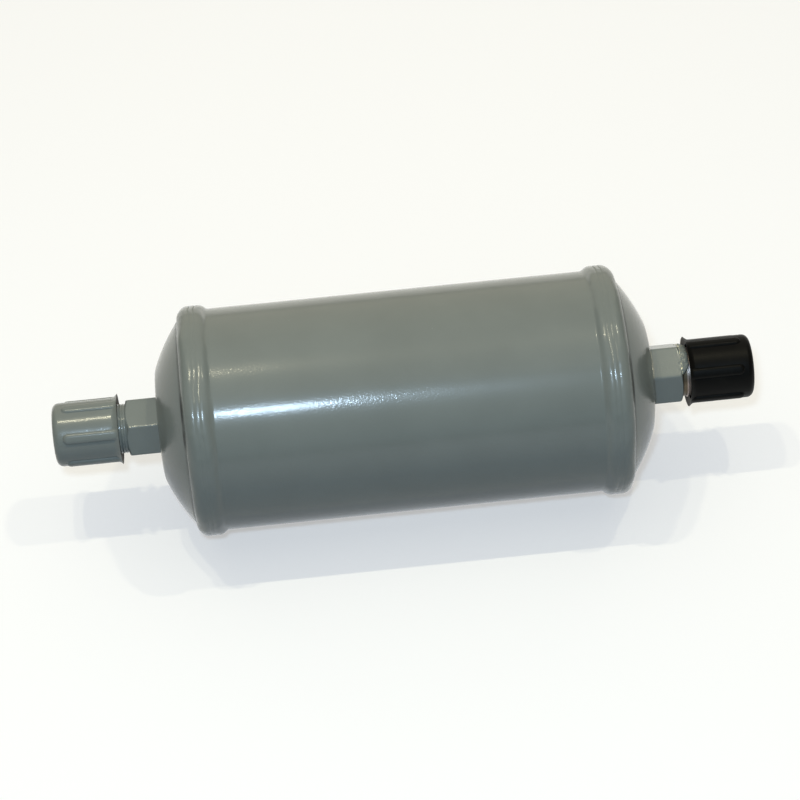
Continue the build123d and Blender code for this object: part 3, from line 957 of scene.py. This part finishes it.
def cap_stations(cap):
    """(distance from the mouth, radius) of each ring of a cap, and how many are outside."""
    rib_end = CAP_LENGTH - cap.rib_margin
    outside = [(CAP_LENGTH, cap.gate_radius), (CAP_LENGTH, cap.radius / 2)]
    for lean in between(0.0, math.pi / 2, 10):
        x = CAP_LENGTH - cap.rounding * (1 - math.cos(lean))
        outside.append((x, cap.radius - cap.rounding * (1 - math.sin(lean))))
    straight = between(rib_end, rib_end - cap.rib_width / 2, 12)
    straight += between(rib_end - cap.rib_width, cap.flare, 12)
    outside += [(x, cap.radius) for x in straight]
    for x in between(cap.flare, 0.0, 14)[1:]:
        flared = (RIM_RADIUS - cap.radius) * (1 - x / cap.flare) ** 1.8
        outside.append((x, cap.radius + flared))
    wall_end = CAP_LENGTH - cap.end_wall
    inside = [
        (0.0, RIM_RADIUS - cap.flare_edge),
        (cap.lip_start, cap.lip_radius),
        (cap.lip_end, cap.lip_radius),
        *((x, cap.bore_radius) for x in between(cap.lip_end, wall_end, 8)),
        (wall_end, cap.gate_radius),
    ]
    return outside + inside, len(outside)


def rib_rise(cap, x, lean):
    """Height of a grip rib over the cap's wall, at an angle from the rib's middle."""
    half = cap.rib_width / 2
    past = max(0.0, x - CAP_LENGTH + cap.rib_margin + half)
    across = math.hypot(lean * cap.radius, past) / half
    return cap.rib_height * max(0.0, 1 - across ** (2 * cap.rib_round)) ** (1 / cap.rib_round)


class DRIER_OT_mould_caps(bpy.types.Operator):
    """Mould the two ribbed caps: enamelled over at the inlet, bare plastic at the outlet"""

    bl_idname = "drier.mould_caps"
    bl_label = "Mould Caps"

    def execute(self, context):
        cap = context.scene.drier_cap
        stations, outer_rings = cap_stations(cap)
        pitch = 2 * math.pi / cap.ribs
        rib_turns = {"inlet": cap.inlet_turn, "outlet": cap.outlet_turn}
        plastic = cap_plastic_material(cap)
        skins = {"inlet": enamel_material(context.scene.drier_enamel), "outlet": plastic}
        for end, side in ENDS.items():
            first = rib_turns[end]

            def place(ring, turn, side=side, end=end, first=first):
                x, radius = stations[ring]
                if END_RINGS <= ring < outer_rings:
                    lean = (turn - first + pitch / 2) % pitch - pitch / 2
                    flare = max(0.0, radius - cap.radius)
                    rise = rib_rise(cap, x, lean)
                    spot = at_turn(side * x, cap.radius, turn)
                    radius += (flare ** 3 + rise ** 3) ** (1 / 3) - flare
                    radius += cap.unevenness * ripple(spot, 0.0035, 17 * side)
                return at_turn(side * (MOUTH_X[end] + x), radius, turn)

            turns = [first + pitch * (rib + part) for rib in range(cap.ribs) for part in RIB_PARTS]
            piece = ring_mesh(f"{end}_push_cap", len(stations), turns, place, lids=True)
            for finish in (skins[end], plastic):
                piece.data.materials.append(finish)
            faces, first_inner = piece.data.polygons, (outer_rings - 1) * len(turns)
            outer_lid = len(faces) - 2
            for face in faces:
                face.material_index = int(face.index >= first_inner and face.index != outer_lid)
            join_body(piece, f"{end}_thread_cap", f"{end}_cap")
        return {"FINISHED"}


class DRIER_OT_finish_inside(bpy.types.Operator):
    """Give the sealed pieces inside the vessel their steel, felt and moulded desiccant"""

    bl_idname = "drier.finish_inside"
    bl_label = "Finish Inner Pieces"

    def execute(self, context):
        inner = context.scene.drier_inner
        pressed = metal_material("Pressed Steel", inner.steel, 0.34, 0.0004, 0.00001)
        finishes = {
            "inlet_braze_ring": metal_material("Braze", inner.braze, 0.4, 0.0005, 0.00002),
            "core_spring": metal_material("Spring Wire", inner.wire, 0.36, 0.0003, 0.00001),
            "spring_plate": pressed,
            "inlet_deflector": pressed,
            "perforated_plate": pressed,
            "mesh_screen": woven_screen_material(inner.steel),
            "felt_pad": fibre_material("Felt", inner.felt, 0.0012, 0.0002),
            "core_seal_ring": fibre_material("Fibre Gasket", inner.gasket, 0.0006, 0.00005),
            "desiccant_core": granule_material("Moulded Desiccant", inner.desiccant),
        }
        finishes["outlet_braze_ring"] = finishes["inlet_braze_ring"]
        finishes["filter_mat"] = finishes["felt_pad"]
        for name, material in finishes.items():
            dress(frame["nodes"][name], material)
        return {"FINISHED"}


# ---- stage
MIDDLE = (0, 0, 0)
CEILING_TURN = math.radians(92.6)
WARM, COOL, EARTHY = (1.0, 0.95, 0.82), (0.56, 0.83, 1.0), (1.0, 0.72, 0.36)
FLASH, CEILING = (0.6, 0.8, 1.0), (1.0, 0.93, 0.66)


# (name, place, aim, (width, height), brightness, tint), where a brightness of 1 looks white.
LAMPS = (
    ("overhead softbox", at_turn(0, 1.3, math.radians(96)), MIDDLE, (2.2, 1.8), 0.52, WARM),
    ("back softbox", at_turn(0, 1.6, math.radians(154)), MIDDLE, (2.6, 1.3), 0.6, WARM),
    ("front softbox", at_turn(0, 1.6, math.radians(30)), MIDDLE, (1.6, 1.5), 0.42, COOL),
    ("flash", at_turn(-0.07, 1, math.radians(49.4)), (-0.045, 0, 0), (0.05, 0.05), 520, FLASH),
    ("left softbox", (-1.5, -0.3, 0.6), MIDDLE, (1.2, 1.2), 0.18, EARTHY),
    ("right softbox", (1.5, -0.3, 0.6), MIDDLE, (1.2, 1.2), 0.18, EARTHY),
    *(
        (f"ceiling lamp {lamp}", at_turn(x, 1, CEILING_TURN), MIDDLE, (0.012, 0.03), glow, CEILING)
        for lamp, x, glow in ((1, -0.27, 1300), (2, -0.16, 1100), (3, 0.34, 1400))
    ),
)


def pale_floor_material(stage):
    """Pale to the lens and in reflections, and a darker bounce for the vessel's underside."""
    material = bpy.data.materials.new("Pale Floor")
    material.use_nodes = True
    tree = material.node_tree
    tree.nodes.clear()
    path = add_node(tree, "ShaderNodeLightPath").outputs
    straight = maths(tree, "ADD", path["Is Camera Ray"], path["Is Transmission Ray"], clamp=True)
    seen = maths(tree, "ADD", straight, path["Is Glossy Ray"], clamp=True)
    lit = add_node(tree, "ShaderNodeBsdfDiffuse", {"Color": stage.floor}).outputs[0]
    bounce = add_node(tree, "ShaderNodeBsdfDiffuse", {"Color": stage.floor_bounce}).outputs[0]
    white = {"Color": (1.0, 1.0, 1.0), "Strength": 1.0}
    glow = add_node(tree, "ShaderNodeEmission", white).outputs[0]
    pale = add_node(tree, "ShaderNodeMixShader", {0: stage.floor_glow, 1: lit, 2: glow}).outputs[0]
    whole = add_node(tree, "ShaderNodeMixShader", {0: seen, 1: bounce, 2: pale}).outputs[0]
    add_node(tree, "ShaderNodeOutputMaterial", {"Surface": whole})
    return material


def hang_lamp(name, place, aim, size, brightness, tint):
    """A rectangular lamp that looks equally bright at any size."""
    lamp = bpy.data.lights.new(name, "AREA")
    lamp.shape = "RECTANGLE"
    lamp.size, lamp.size_y = size
    lamp.energy = brightness * math.pi * size[0] * size[1]
    lamp.color = tint
    holder = bpy.data.objects.new(name, lamp)
    bpy.context.scene.collection.objects.link(holder)
    back = (Vector(place) - Vector(aim)).normalized()
    holder.rotation_mode = "QUATERNION"
    holder.rotation_quaternion = back.to_track_quat("Z", "Y")
    holder.location = place


class DRIER_OT_set_stage(bpy.types.Operator):
    """Lay the floor, hang the lamps and stand the camera"""

    bl_idname = "drier.set_stage"
    bl_label = "Set Stage"

    def execute(self, context):
        scene, stage = context.scene, context.scene.drier_stage
        bpy.ops.mesh.primitive_circle_add(
            vertices=96, radius=6, fill_type="NGON", location=(0, 0, FLOOR_Z)
        )
        floor = context.object
        floor.name = "floor"
        floor.data.materials.append(pale_floor_material(stage))

        world = scene.world or bpy.data.worlds.new("Room")
        scene.world = world
        world.use_nodes = True
        background = world.node_tree.nodes["Background"].inputs
        background["Color"].default_value = (*stage.room, 1)
        background["Strength"].default_value = 1

        for lamp in LAMPS:
            hang_lamp(*lamp)

        camera = bpy.data.objects.new("camera", bpy.data.cameras.new("camera"))
        scene.collection.objects.link(camera)
        scene.camera = camera
        camera.data.lens = stage.lens
        along = Vector((1, 0, 0))
        level = Vector((0, -math.cos(stage.elevation), math.sin(stage.elevation)))
        aside = math.cos(stage.yaw) * along + math.sin(stage.yaw) * level
        back = math.cos(stage.yaw) * level - math.sin(stage.yaw) * along
        above = back.cross(aside)
        right = math.cos(stage.roll) * aside - math.sin(stage.roll) * above
        up = math.sin(stage.roll) * aside + math.cos(stage.roll) * above
        place = stage.distance * back - stage.aside * aside + stage.below * up
        facing = Matrix((right, up, back)).transposed().to_4x4()
        camera.matrix_world = Matrix.Translation(place) @ facing
        scene.view_settings.view_transform = "Standard"
        return {"FINISHED"}


OPERATORS = (
    DRIER_OT_enamel_vessel,
    DRIER_OT_lay_beads,
    DRIER_OT_turn_fittings,
    DRIER_OT_gather_enamel,
    DRIER_OT_mould_caps,
    DRIER_OT_finish_inside,
    DRIER_OT_set_stage,
)


class DRIER_PT_dressing(bpy.types.Panel):
    """Lists the steps that dress the drier"""

    bl_idname = "DRIER_PT_dressing"
    bl_label = "Filter Drier"
    bl_space_type = "VIEW_3D"
    bl_region_type = "UI"
    bl_category = "Filter Drier"

    def draw(self, context):
        for operator in OPERATORS:
            self.layout.operator(operator.bl_idname)
        for name in SETTINGS:
            group = getattr(context.scene, name)
            column = self.layout.column()
            for key in group.bl_rna.properties.keys():
                if key not in ("rna_type", "name"):
                    column.prop(group, key)


def register():
    for group in (*SETTINGS.values(), *OPERATORS, DRIER_PT_dressing):
        bpy.utils.register_class(group)
    for name, group in SETTINGS.items():
        setattr(bpy.types.Scene, name, PointerProperty(type=group))


def unregister():
    for name in SETTINGS:
        delattr(bpy.types.Scene, name)
    for group in reversed((*SETTINGS.values(), *OPERATORS, DRIER_PT_dressing)):
        bpy.utils.unregister_class(group)


def main():
    register()
    for operator in OPERATORS:
        group, name = operator.bl_idname.split(".")
        getattr(getattr(bpy.ops, group), name)()


if __name__ == "__main__":
    main()
